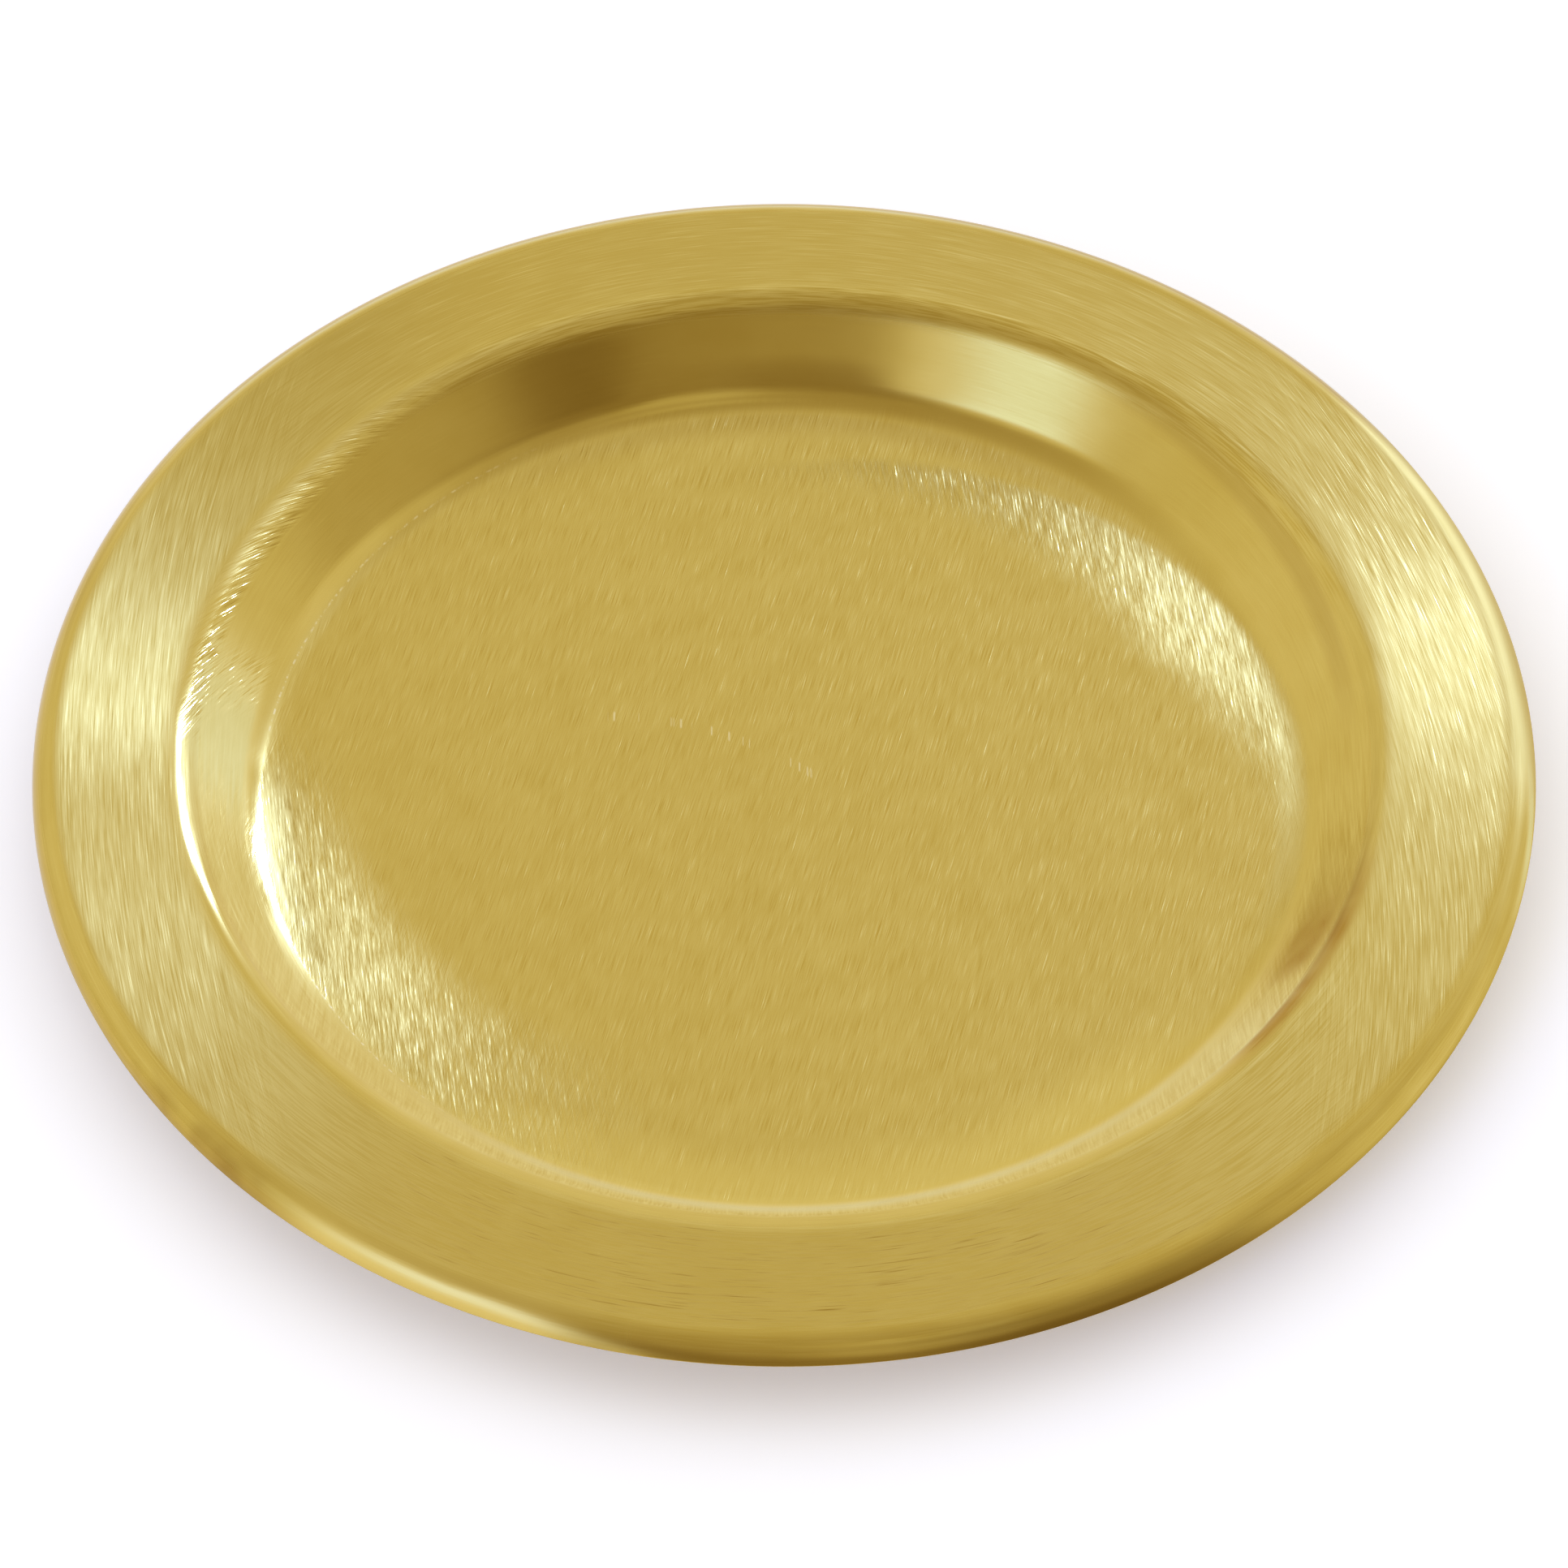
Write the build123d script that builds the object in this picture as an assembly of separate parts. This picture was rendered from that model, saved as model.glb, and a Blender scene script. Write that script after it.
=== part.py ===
from build123d import *
import os
from math import cos, radians, sin, tan

# Round candle plate, pressed from one sheet of brass.
# A flat floor carries the candle. A sloping wall rises from it to a brim, a broad rim falls
# gently outwards from there, and the outer edge is turned down into a lip.
# Millimetres and degrees, +Z up, origin at the centre of the floor's underside.

# Driving dimensions. Bend radii are those of the sheet's upper face.
PLATE_DIAMETER = 120.0  # outermost, across the lip
FLOOR_DIAMETER = 81.2  # flat ground inside the bend at the foot of the wall
WELL_DEPTH = 6.8  # from the top of the brim down to the floor
SHEET = 0.8  # thickness, the same all over
WALL_SLOPE = 52.0  # rise of the wall, from the horizontal
RIM_FALL = 3.0  # fall of the rim towards the outside, from the horizontal
LIP_SLOPE = 80.0  # fall of the lip, from the horizontal
LIP_LENGTH = 2.1  # along the lip, from the line of the rim to the trimmed edge
FOOT_BEND = 3.6  # radius where the floor turns up into the wall
BRIM_BEND = 2.9  # radius where the wall turns over into the rim
LIP_BEND = 2.2  # radius where the rim turns down into the lip
EDGE_ROUND = 0.25  # radius on the two corners of the trimmed edge

FULL_TURN = 360.0


def outward(slope):
    """Unit vector in the section plane that runs outwards and rises at the slope."""
    return Vector(cos(radians(slope)), sin(radians(slope)))


def under(heading):
    """Unit vector square to a heading, on the underside of the sheet."""
    return Vector(heading.Y, -heading.X)


# Headings of the section's straight stretches, from the axis to the trimmed edge.
HEADINGS = [outward(0.0), outward(WALL_SLOPE), outward(-RIM_FALL), outward(-LIP_SLOPE)]


def upper_corners():
    """Points of the sheet's upper face, with each bend as a sharp corner."""
    floor, wall, rim, lip = HEADINGS
    centre = Vector(0.0, SHEET)
    foot_tangent = FOOT_BEND * tan(radians(WALL_SLOPE) / 2)
    foot = centre + floor * (FLOOR_DIAMETER / 2 + foot_tangent)

    # The top of the brim is where its bend runs level, at the well's full depth.
    brim_drop = BRIM_BEND * (1 - cos(radians(WALL_SLOPE)))
    brim_tangent = BRIM_BEND * tan(radians(WALL_SLOPE + RIM_FALL) / 2)
    brim = foot + wall * ((WELL_DEPTH - brim_drop) / sin(radians(WALL_SLOPE)) + brim_tangent)

    # The rounded edge stops short of its sharp corner, which so stands outside the plate's diameter.
    corner_reach = PLATE_DIAMETER / 2 + EDGE_ROUND * (lip.X - lip.Y - 1)
    rim_reach = corner_reach - LIP_LENGTH * lip.X - brim.X
    turn = brim + rim * (rim_reach / rim.X)
    edge = turn + lip * LIP_LENGTH
    return [centre, foot, brim, turn, edge]


def lower_corners(upper):
    """The upper face's points moved through the sheet to its lower face."""
    sides = [under(heading) for heading in HEADINGS]
    lower = [upper[0] + sides[0] * SHEET]
    for corner, before, after in zip(upper[1:-1], sides, sides[1:]):
        lower.append(corner + (before + after) * (SHEET / (1 + before.dot(after))))
    lower.append(upper[-1] + sides[-1] * SHEET)
    return lower


def section_outline():
    """Corners and bend radii once round the half section, sharp only on the axis."""
    upper = upper_corners()
    lower = lower_corners(upper)
    upper_bends = [FOOT_BEND, BRIM_BEND, LIP_BEND]
    lower_bends = [FOOT_BEND + SHEET, BRIM_BEND - SHEET, LIP_BEND - SHEET]
    edge_rounds = [EDGE_ROUND, EDGE_ROUND]
    corners = upper + lower[::-1]
    radii = [0.0] + upper_bends + edge_rounds + lower_bends[::-1] + [0.0]
    return corners, radii


def make_plate():
    """The whole pressing: the sheet's half section turned round the axis."""
    corners, radii = section_outline()
    with BuildPart() as plate:
        with BuildSketch(Plane.XZ):
            with BuildLine():
                FilletPolyline(*corners, radius=radii, close=True)
            make_face()
        revolve(axis=Axis.Z, revolution_arc=FULL_TURN)
    return plate.part


os.makedirs("parts", exist_ok=True)
export_step(make_plate(), "parts/plate.step")
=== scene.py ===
"""Brushed brass candle plate: the visual model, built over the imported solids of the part.

The plate is one pressed sheet: floor, wall, brim, rim and turned-down lip. This script makes its surface as
a section turned round the plate's axis, gives it a hand-brushed satin finish, and sets it on a pale floor in
soft studio light, seen from the photograph's angle. Sizes are metres. Finishes are laid out in millimetres,
and in degrees round the plate's axis from +X towards +Y.
"""
import logging
from dataclasses import dataclass, field
from enum import Enum
from math import cos, pi, radians, sin, tan
from typing import Any

import bpy
import numpy as np
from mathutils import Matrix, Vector


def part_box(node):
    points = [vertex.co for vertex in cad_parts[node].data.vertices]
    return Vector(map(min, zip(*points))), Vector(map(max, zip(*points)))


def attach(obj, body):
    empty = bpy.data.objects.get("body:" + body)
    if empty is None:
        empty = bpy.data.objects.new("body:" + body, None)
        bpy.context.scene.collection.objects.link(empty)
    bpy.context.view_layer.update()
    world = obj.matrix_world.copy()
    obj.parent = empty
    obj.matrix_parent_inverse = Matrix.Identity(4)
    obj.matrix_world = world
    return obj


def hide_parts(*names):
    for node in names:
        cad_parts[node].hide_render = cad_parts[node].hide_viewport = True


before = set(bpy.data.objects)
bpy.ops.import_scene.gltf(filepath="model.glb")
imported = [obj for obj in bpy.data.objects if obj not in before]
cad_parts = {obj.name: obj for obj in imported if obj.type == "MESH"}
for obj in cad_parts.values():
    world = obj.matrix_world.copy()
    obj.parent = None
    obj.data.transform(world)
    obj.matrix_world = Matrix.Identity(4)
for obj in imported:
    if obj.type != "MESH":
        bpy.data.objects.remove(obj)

MM = 0.001
MM_PER_METRE = 1000.0
PHOTO_SIDE_PX = 1932
SENSOR_MM = 36.0

Span = tuple[float, float]
Band = tuple[float, float, float, float]
Paint = tuple[float, float, float, float]

LEFT_DEG = 180.0
FRONT_DEG = 270.0
RIM_RADIUS_MM = 50.0
BRIM_RADIUS_MM = 47.0
# Added to a point's distance from the axis, which is a divisor.
OFF_AXIS_MM = 0.001
# Past the section's last point, so that a strip that ends here never wanes.
ONWARD: Span = (100.0, 101.0)
# Strips that several patches share, in millimetres past the section's mark that the comment names.
EDGE_STRIP: Band = (-1.5, -0.2, 0.8, 1.8)  # floor
LINE_STRIP: Band = (1.3, 1.4, 1.44, 1.54)  # floor
WALL_STRIP: Band = (1.3, 3.3, 8.226, 9.626)  # floor
BRIM_STRIP: Band = (-0.6, 0.6, 2.0, 3.2)  # wall
LIP_STRIP: Band = (-0.9, 0.3, *ONWARD)  # rim
HEM_STRIP: Band = (-3.2, -1.0, *ONWARD)  # lip
# The arc, in degrees from its middle, where light catches the left of the brim.
HOT_ARC: Band = (-15.0, -10.0, 3.0, 11.0)
# The shader's full anisotropy narrows a highlight by this share.
FULL_ANISOTROPY = 0.9
# Turns of the shader's tangent that lay a highlight's narrow way along strokes round the axis.
QUARTER_TURN = 0.25
FULL_TURN_DEG = 360.0

log = logging.getLogger("candle_plate")


class Wire:
    """One output socket of a node tree, with arithmetic that adds Math or Vector Math nodes."""

    def __init__(self, tree: "Tree", socket: bpy.types.NodeSocket) -> None:
        """Keeps the tree and the socket.

        Args:
            tree: The tree that new nodes go into.
            socket: The output socket that this wire stands for.
        """
        self.tree = tree
        self.socket = socket

    @property
    def is_vector(self) -> bool:
        """True where the socket carries three numbers."""
        return self.socket.type in {"VECTOR", "RGBA"}

    def _maths(self, operation: str, *inputs: Any) -> "Wire":
        """Adds one Math node, or a Vector Math node where an input is a vector.

        Args:
            operation: The node's operation.
            inputs: Its inputs in order, as wires or numbers.

        Returns:
            The node's result.
        """
        vector = any(isinstance(i, Wire) and i.is_vector for i in inputs)
        kind = "ShaderNodeVectorMath" if vector else "ShaderNodeMath"
        return self.tree.node(kind, {"operation": operation}, dict(enumerate(inputs)))

    def __add__(self, other: Any) -> "Wire":
        """Sum."""
        return self._maths("ADD", self, other)

    def __radd__(self, other: Any) -> "Wire":
        """Sum, reflected."""
        return self._maths("ADD", other, self)

    def __sub__(self, other: Any) -> "Wire":
        """Difference."""
        return self._maths("SUBTRACT", self, other)

    def __rsub__(self, other: Any) -> "Wire":
        """Difference, reflected."""
        return self._maths("SUBTRACT", other, self)

    def __mul__(self, other: Any) -> "Wire":
        """Product of numbers, or a vector scaled by a number."""
        if self.is_vector:
            return self.tree.node("ShaderNodeVectorMath", {"operation": "SCALE"}, {0: self, "Scale": other})
        return self._maths("MULTIPLY", self, other)

    def __rmul__(self, other: Any) -> "Wire":
        """Product, reflected."""
        return self * other

    def __truediv__(self, other: Any) -> "Wire":
        """Quotient."""
        return self._maths("DIVIDE", self, other)

    def __pow__(self, other: Any) -> "Wire":
        """Power."""
        return self._maths("POWER", self, other)

    def cross(self, other: "Wire") -> "Wire":
        """Cross product of two vectors."""
        return self._maths("CROSS_PRODUCT", self, other)

    def dot(self, other: Any) -> "Wire":
        """Dot product of two vectors."""
        sockets = {0: self, 1: other}
        return self.tree.node("ShaderNodeVectorMath", {"operation": "DOT_PRODUCT"}, sockets, "Value")

    def unit(self) -> "Wire":
        """The vector at length one."""
        return self._maths("NORMALIZE", self)

    def over(self, other: "Wire") -> "Wire":
        """Angle, in radians, whose tangent is this number over the other."""
        return self._maths("ARCTAN2", self, other)

    def at_most(self, limit: float) -> "Wire":
        """The number, or the limit where it is more."""
        return self._maths("MINIMUM", self, limit)

    def parts(self) -> tuple["Wire", "Wire", "Wire"]:
        """The vector's X, Y and Z."""
        node = self.tree.raw("ShaderNodeSeparateXYZ", {}, {0: self})
        return tuple(Wire(self.tree, out) for out in node.outputs)

    def ramp(self, low: float, high: float, start: float = 0.0, end: float = 1.0) -> "Wire":
        """A smooth step between two values of this number.

        Args:
            low: Where the step begins.
            high: Where it ends.
            start: The result up to low.
            end: The result from high on.

        Returns:
            The stepped number.
        """
        sockets = {"Value": self, "From Min": low, "From Max": high, "To Min": start, "To Max": end}
        return self.tree.node("ShaderNodeMapRange", {"interpolation_type": "SMOOTHSTEP"}, sockets)

    def band(self, low: float, full: float, wane: float, high: float) -> "Wire":
        """One between full and wane, and smoothly nought below low and above high."""
        return self.ramp(low, full) * self.ramp(wane, high, 1.0, 0.0)


class Tree:
    """A material's or world's node tree, emptied, with one method that makes any node."""

    def __init__(self, owner: bpy.types.Material | bpy.types.World) -> None:
        """Empties the owner's tree.

        Args:
            owner: The material or world that the nodes belong to.
        """
        owner.use_nodes = True
        self.nodes = owner.node_tree.nodes
        self.links = owner.node_tree.links
        self.nodes.clear()

    def raw(self, kind: str, settings: dict[str, Any], sockets: dict[Any, Any]) -> bpy.types.Node:
        """Makes a node, sets it up and feeds its sockets.

        Args:
            kind: The node's type name.
            settings: Attributes of the node, set before its sockets.
            sockets: Values or wires, by input name or number.

        Returns:
            The node.
        """
        node = self.nodes.new(kind)
        for name, setting in settings.items():
            setattr(node, name, setting)
        for key, value in sockets.items():
            if isinstance(value, Wire):
                self.links.new(value.socket, node.inputs[key])
            else:
                node.inputs[key].default_value = value
        return node

    def node(self, kind: str, settings: dict[str, Any], sockets: dict[Any, Any], out: Any = None) -> Wire:
        """Makes a node and gives one of its outputs.

        Args:
            kind: The node's type name.
            settings: Attributes of the node, set before its sockets.
            sockets: Values or wires, by input name or number.
            out: The output's name or number, or None for the first that is in use.

        Returns:
            The output as a wire.
        """
        made = self.raw(kind, settings, sockets)
        if out is None:
            return Wire(self, next(o for o in made.outputs if o.enabled))
        return Wire(self, made.outputs[out])

    def vector(self, x: Any, y: Any, z: Any) -> Wire:
        """A vector from three numbers or wires."""
        return self.node("ShaderNodeCombineXYZ", {}, {0: x, 1: y, 2: z})

    def noise(self, at: Wire, scale: float = 1.0, detail: float = 0.0, rough: float = 0.5) -> Wire:
        """Smooth noise from 0 to 1.

        Args:
            at: Where it is read.
            scale: Features per unit.
            detail: Finer layers added to it.
            rough: How strong those layers are.

        Returns:
            The noise value.
        """
        sockets = {"Vector": at, "Scale": scale, "Detail": detail, "Roughness": rough}
        return self.node("ShaderNodeTexNoise", {}, sockets, "Fac")

    def mix(self, share: Any, first: Any, second: Any) -> Wire:
        """Two colours mixed by a share of the second."""
        factor, colour_a, colour_b, result = 0, 6, 7, 2
        sockets = {factor: share, colour_a: first, colour_b: second}
        return self.node("ShaderNodeMix", {"data_type": "RGBA"}, sockets, result)


def aim(azimuth_deg: float, elevation_deg: float) -> Vector:
    """Unit vector towards a point of the sky.

    Args:
        azimuth_deg: Turn from +X towards +Y.
        elevation_deg: Height above the horizon.

    Returns:
        The direction.
    """
    turn, rise = radians(azimuth_deg), radians(elevation_deg)
    return Vector((cos(rise) * cos(turn), cos(rise) * sin(turn), sin(rise)))


def way_along(points: np.ndarray) -> np.ndarray:
    """Length of the way from the first point of a line to each of its points."""
    steps = np.linalg.norm(np.diff(points, axis=0), axis=1)
    return np.concatenate([[0.0], np.cumsum(steps)])


@dataclass
class Section:
    """Half section of the pressed sheet, from the axis out along the upper face and back along the lower."""

    plate_radius: float
    height: float
    floor_radius: float = 40.6 * MM
    sheet: float = 0.8 * MM
    wall_slope: float = radians(52.0)
    rim_fall: float = radians(3.0)
    lip_slope: float = radians(80.0)
    lip_length: float = 2.1 * MM
    foot_bend: float = 3.6 * MM
    brim_bend: float = 2.9 * MM
    lip_bend: float = 2.2 * MM
    edge_round: float = 0.25 * MM
    arc_step: float = radians(4.5)
    straight_steps: tuple[int, ...] = (36, 8, 14, 2, 2, 2, 8, 6, 16)

    def headings(self) -> np.ndarray:
        """Unit headings of floor, wall, rim and lip in the section's plane."""
        slopes = np.array([0.0, self.wall_slope, -self.rim_fall, -self.lip_slope])
        return np.stack([np.cos(slopes), np.sin(slopes)], axis=1)

    def upper_corners(self) -> np.ndarray:
        """Upper face as straight stretches that meet in sharp corners.

        The foot corner stands one bend tangent outside the flat floor. The brim corner lies on the wall's
        line, where the bend's top reaches the plate's height. The lip corner lies on the rim's line, one lip
        length short of the trimmed edge, whose rounding just reaches the plate's radius.

        Returns:
            Five points, from the axis to the trimmed edge.
        """
        floor, wall, rim, lip = self.headings()
        centre = np.array([0.0, self.sheet])
        foot = centre + floor * (self.floor_radius + self.foot_bend * tan(self.wall_slope / 2))
        depth = self.height - self.sheet
        brim_drop = self.brim_bend * (1 - cos(self.wall_slope))
        brim_tangent = self.brim_bend * tan((self.wall_slope + self.rim_fall) / 2)
        brim = foot + wall * ((depth - brim_drop) / sin(self.wall_slope) + brim_tangent)
        corner_reach = self.plate_radius + self.edge_round * (lip[0] - lip[1] - 1)
        turn = brim + rim * ((corner_reach - self.lip_length * lip[0] - brim[0]) / rim[0])
        return np.stack([centre, foot, brim, turn, turn + lip * self.lip_length])

    def corners(self) -> np.ndarray:
        """Corners once round the half section.

        The lower face is the upper one moved through the sheet: each corner shifts along the sum of its two
        stretches' normals, over one plus their dot product.

        Returns:
            Ten points, from the axis out along the top and back underneath.
        """
        upper = self.upper_corners()
        way = self.headings()
        under = np.stack([way[:, 1], -way[:, 0]], axis=1)
        before, after = under[:-1], under[1:]
        spread = 1 + np.sum(before * after, axis=1, keepdims=True)
        shifts = np.concatenate([under[:1], (before + after) / spread, under[-1:]])
        return np.concatenate([upper, (upper + shifts * self.sheet)[::-1]])

    def radii(self) -> list[float]:
        """Bend radii at the corners between the two ends of the outline."""
        upper = [self.foot_bend, self.brim_bend, self.lip_bend]
        lower = [self.lip_bend - self.sheet, self.brim_bend - self.sheet, self.foot_bend + self.sheet]
        return upper + [self.edge_round, self.edge_round] + lower

    def bends(self) -> list[np.ndarray]:
        """Arcs of the bends, in order along the outline.

        A bend starts radius times tan of half its turn before the corner, and its points are the start
        turned about the bend's centre in even steps.

        Returns:
            Radius and height of each arc's points.
        """
        corners = self.corners()
        runs = np.diff(corners, axis=0)
        way = runs / np.linalg.norm(runs, axis=1, keepdims=True)
        arcs = []
        for arrive, leave, corner, radius in zip(way, way[1:], corners[1:], self.radii()):
            turn = np.arctan2(arrive[0] * leave[1] - arrive[1] * leave[0], arrive @ leave)
            start = corner - arrive * radius * abs(tan(turn / 2))
            centre = start + np.sign(turn) * radius * np.array([-arrive[1], arrive[0]])
            angles = np.linspace(0.0, turn, max(3, int(np.ceil(abs(turn) / self.arc_step))) + 1)
            spin = np.array([[np.cos(angles), -np.sin(angles)], [np.sin(angles), np.cos(angles)]])
            arcs.append(centre + np.einsum("ijk,j->ki", spin, start - centre))
        return arcs

    def outline(self) -> np.ndarray:
        """Points of the half section: its bends, with the straight stretches between them in even steps.

        Returns:
            Radius and height of each point, from the axis to the axis.
        """
        corners, arcs = self.corners(), self.bends()
        starts = [corners[0]] + [arc[-1] for arc in arcs]
        ends = [arc[0] for arc in arcs] + [corners[-1]]
        straights = [np.linspace(a, b, n + 1) for a, b, n in zip(starts, ends, self.straight_steps)]
        joined = [part for pair in zip(straights, arcs) for part in (pair[0][:-1], pair[1][:-1])]
        return np.concatenate(joined + [straights[-1]])

    def marks(self) -> dict[str, float]:
        """Way along the upper face to the ends of its stretches, in millimetres."""
        foot, brim, lip, edge = self.bends()[:4]
        places = {"floor": foot[0], "foot": foot[-1], "wall": brim[0], "brim": brim[-1]}
        places |= {"rim": lip[0], "lip": lip[-1], "edge": edge[0]}
        outline = self.outline()
        way = way_along(outline)
        gaps = {name: np.linalg.norm(outline - place, axis=1) for name, place in places.items()}
        return {name: float(way[np.argmin(gap)]) * MM_PER_METRE for name, gap in gaps.items()}


class Turned:
    """A closed surface: a half section turned round the Z axis."""

    def __init__(self, outline: np.ndarray, segments: int) -> None:
        """Works out the rings of the surface.

        Args:
            outline: Radius and height of the section's points, on the axis at both ends.
            segments: Steps round the axis.
        """
        self.outline = outline
        self.segments = segments

    def points(self) -> np.ndarray:
        """Pole, rings, pole: a ring point is radius times cosine and sine of its turn, at its height."""
        turn = np.linspace(0.0, 2 * pi, self.segments, endpoint=False)
        radius, height = self.outline[1:-1, 0, None], self.outline[1:-1, 1, None]
        rings = np.stack(np.broadcast_arrays(radius * np.cos(turn), radius * np.sin(turn), height), axis=-1)
        poles = np.array([[0.0, 0.0, self.outline[0, 1]], [0.0, 0.0, self.outline[-1, 1]]])
        return np.concatenate([poles[:1], rings.reshape(-1, 3), poles[1:]])

    def faces(self) -> list[list[int]]:
        """Quads between neighbouring rings, and a fan of triangles at each pole, all facing outwards."""
        rings = len(self.outline) - 2
        number = 1 + np.arange(rings * self.segments).reshape(rings, self.segments)
        beside = np.roll(number, -1, axis=1)
        quads = np.stack([number[:-1], number[1:], beside[1:], beside[:-1]], axis=-1).reshape(-1, 4)
        top = np.stack([np.zeros_like(number[0]), number[0], beside[0]], axis=-1)
        bottom = np.stack([np.full_like(number[0], number[-1, -1] + 1), beside[-1], number[-1]], axis=-1)
        return top.tolist() + quads.tolist() + bottom.tolist()

    def per_point(self, along: np.ndarray) -> np.ndarray:
        """Spreads one number per section point over the surface's points."""
        return np.concatenate([along[:1], np.repeat(along[1:-1], self.segments), along[-1:]])


class Course(Enum):
    """Ways that a pass of the brush can run."""

    ROUND = "round the plate's axis"
    STRAIGHT = "across the plate"
    SLANT = "round the axis, climbing"


@dataclass(frozen=True)
class Strokes:
    """One pass of the brush: long narrow noise that tilts the surface sideways to the strokes.

    A straight pass follows lines x + lean * y + bow * y * y = constant, in millimetres. A slanting one
    climbs lean millimetres along the section for each millimetre round the plate. The slope grows with bite
    times its own cube, so that a few strokes cut deeper than the rest. Detail and rough are the noise's own.
    """

    steep: float
    width_mm: float
    length_mm: float
    course: Course = Course.STRAIGHT
    lean: float = 0.0
    bow: float = 0.0
    bite: float = 20.0
    detail: float = 2.0
    rough: float = 0.6
    seed: float = 0.0


@dataclass(frozen=True)
class Gloss:
    """How a brushed patch spreads light: little along its strokes, round the plate, and more across."""

    across: float
    along: float
    skew_deg: float = 0.0

    @property
    def rough(self) -> float:
        """Roughness that has the mean spread of the two ways."""
        return (self.across * self.along) ** 0.25

    @property
    def uneven(self) -> float:
        """Anisotropy that gives the two spreads."""
        return (1.0 - self.along / self.across) / FULL_ANISOTROPY

    @property
    def turns(self) -> float:
        """Turns of the shader's tangent that lay the narrow way along the strokes."""
        return QUARTER_TURN + self.skew_deg / FULL_TURN_DEG


@dataclass(frozen=True)
class Spot:
    """Where on the plate a point of its surface lies, as wires in millimetres."""

    tree: Tree
    marks: dict[str, float]
    x: Wire
    y: Wire
    radius: Wire
    travel: Wire
    normal: Wire

    @classmethod
    def on(cls, tree: Tree, marks: dict[str, float]) -> "Spot":
        """Reads the place from the object's own coordinates and from its way along the section.

        Args:
            tree: The material's tree.
            marks: Way along the section, in millimetres, to the ends of its stretches.

        Returns:
            The place.
        """
        x, y, _ = (tree.node("ShaderNodeTexCoord", {}, {}, "Object") * MM_PER_METRE).parts()
        radius = (x * x + y * y) ** 0.5 + OFF_AXIS_MM
        travel = tree.node("ShaderNodeAttribute", {"attribute_name": "travel"}, {}, "Fac") * MM_PER_METRE
        normal = tree.node("ShaderNodeNewGeometry", {}, {}, "Normal")
        return cls(tree, marks, x, y, radius, travel, normal)

    def angle(self, centre_deg: float) -> Wire:
        """Turn round the plate's axis from a direction, in degrees from -180 to 180."""
        ahead, beside = cos(radians(centre_deg)), sin(radians(centre_deg))
        return (self.y * ahead - self.x * beside).over(self.x * ahead + self.y * beside) * (180.0 / pi)

    def since(self, mark: str) -> Wire:
        """Way along the section past one of its marks."""
        return self.travel - self.marks[mark]

    def round_way(self) -> Wire:
        """Unit vector round the plate's axis."""
        return self.tree.vector(self.y / self.radius * -1.0, self.x / self.radius, 0.0)


@dataclass(frozen=True)
class Patch:
    """A soft-edged patch of the plate's upper face.

    Strip and arc each say where the patch begins, is full, starts to wane and ends: the strip in
    millimetres past a mark of the section, the arc in degrees from the patch's middle. A patch that climbs
    moves its strip by so many millimetres a degree. One that leans moves its arc by so many degrees a
    millimetre.
    """

    mark: str
    strip: Band
    middle_deg: float
    arc: Band
    share: float = 1.0
    climb: float = 0.0
    lean: float = 0.0

    def on(self, spot: Spot) -> Wire:
        """The patch's mask.

        Args:
            spot: The place on the plate.

        Returns:
            A number from 0 to the patch's share.
        """
        past, turn = spot.since(self.mark), spot.angle(self.middle_deg)
        along = (past - turn * self.climb if self.climb else past).band(*self.strip)
        around = (turn - past * self.lean if self.lean else turn).band(*self.arc)
        return along * around * self.share


@dataclass(frozen=True)
class Crescent:
    """A brushed crescent on the floor, along the foot of the wall.

    It fades in between the two inner radii and out between the two outer ones, in millimetres. For each
    degree from the crescent's middle the inner radii fall by so much, which may differ before and after the
    middle, and so do the outer ones.
    """

    middle_deg: float
    arc: Band
    inner: Span
    inner_before: float
    inner_after: float = 0.0
    outer: Span = ONWARD
    outer_change: float = 0.0

    def on(self, spot: Spot) -> Wire:
        """The crescent's mask, from 0 to 1.

        Args:
            spot: The place on the plate.

        Returns:
            The mask.
        """
        turn = spot.angle(self.middle_deg)
        shift = turn.at_most(0.0) * (self.inner_before - self.inner_after) + turn * self.inner_after
        inside = (spot.radius + shift).ramp(*self.inner)
        within = (spot.radius + turn * self.outer_change).ramp(*self.outer, 1.0, 0.0)
        return turn.band(*self.arc) * inside * within


@dataclass(frozen=True)
class GlintRow:
    """A row of small glints painted across the floor, on the curve y = height - sag * (x - start)^2."""

    start: float = -14.0
    height: float = 7.9
    sag: float = 0.0228
    length: Band = (-0.6, -0.3, 0.3, 0.6)
    reach: Band = (-20.0, -16.0, 1.0, 4.0)
    per_mm: float = 4.4
    seed: float = 5.3
    cut: Span = (0.64, 0.72)
    share: float = 0.42

    def on(self, spot: Spot) -> Wire:
        """The painted glints' mask.

        Args:
            spot: The place on the plate.

        Returns:
            A number from 0 to the painted glints' share.
        """
        past = spot.x - self.start
        row = (spot.y + past * past * self.sag - self.height).band(*self.length) * spot.x.band(*self.reach)
        comb = spot.tree.vector(spot.x * self.per_mm, 0.0, self.seed)
        return row * spot.tree.noise(comb).ramp(*self.cut) * self.share


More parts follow.
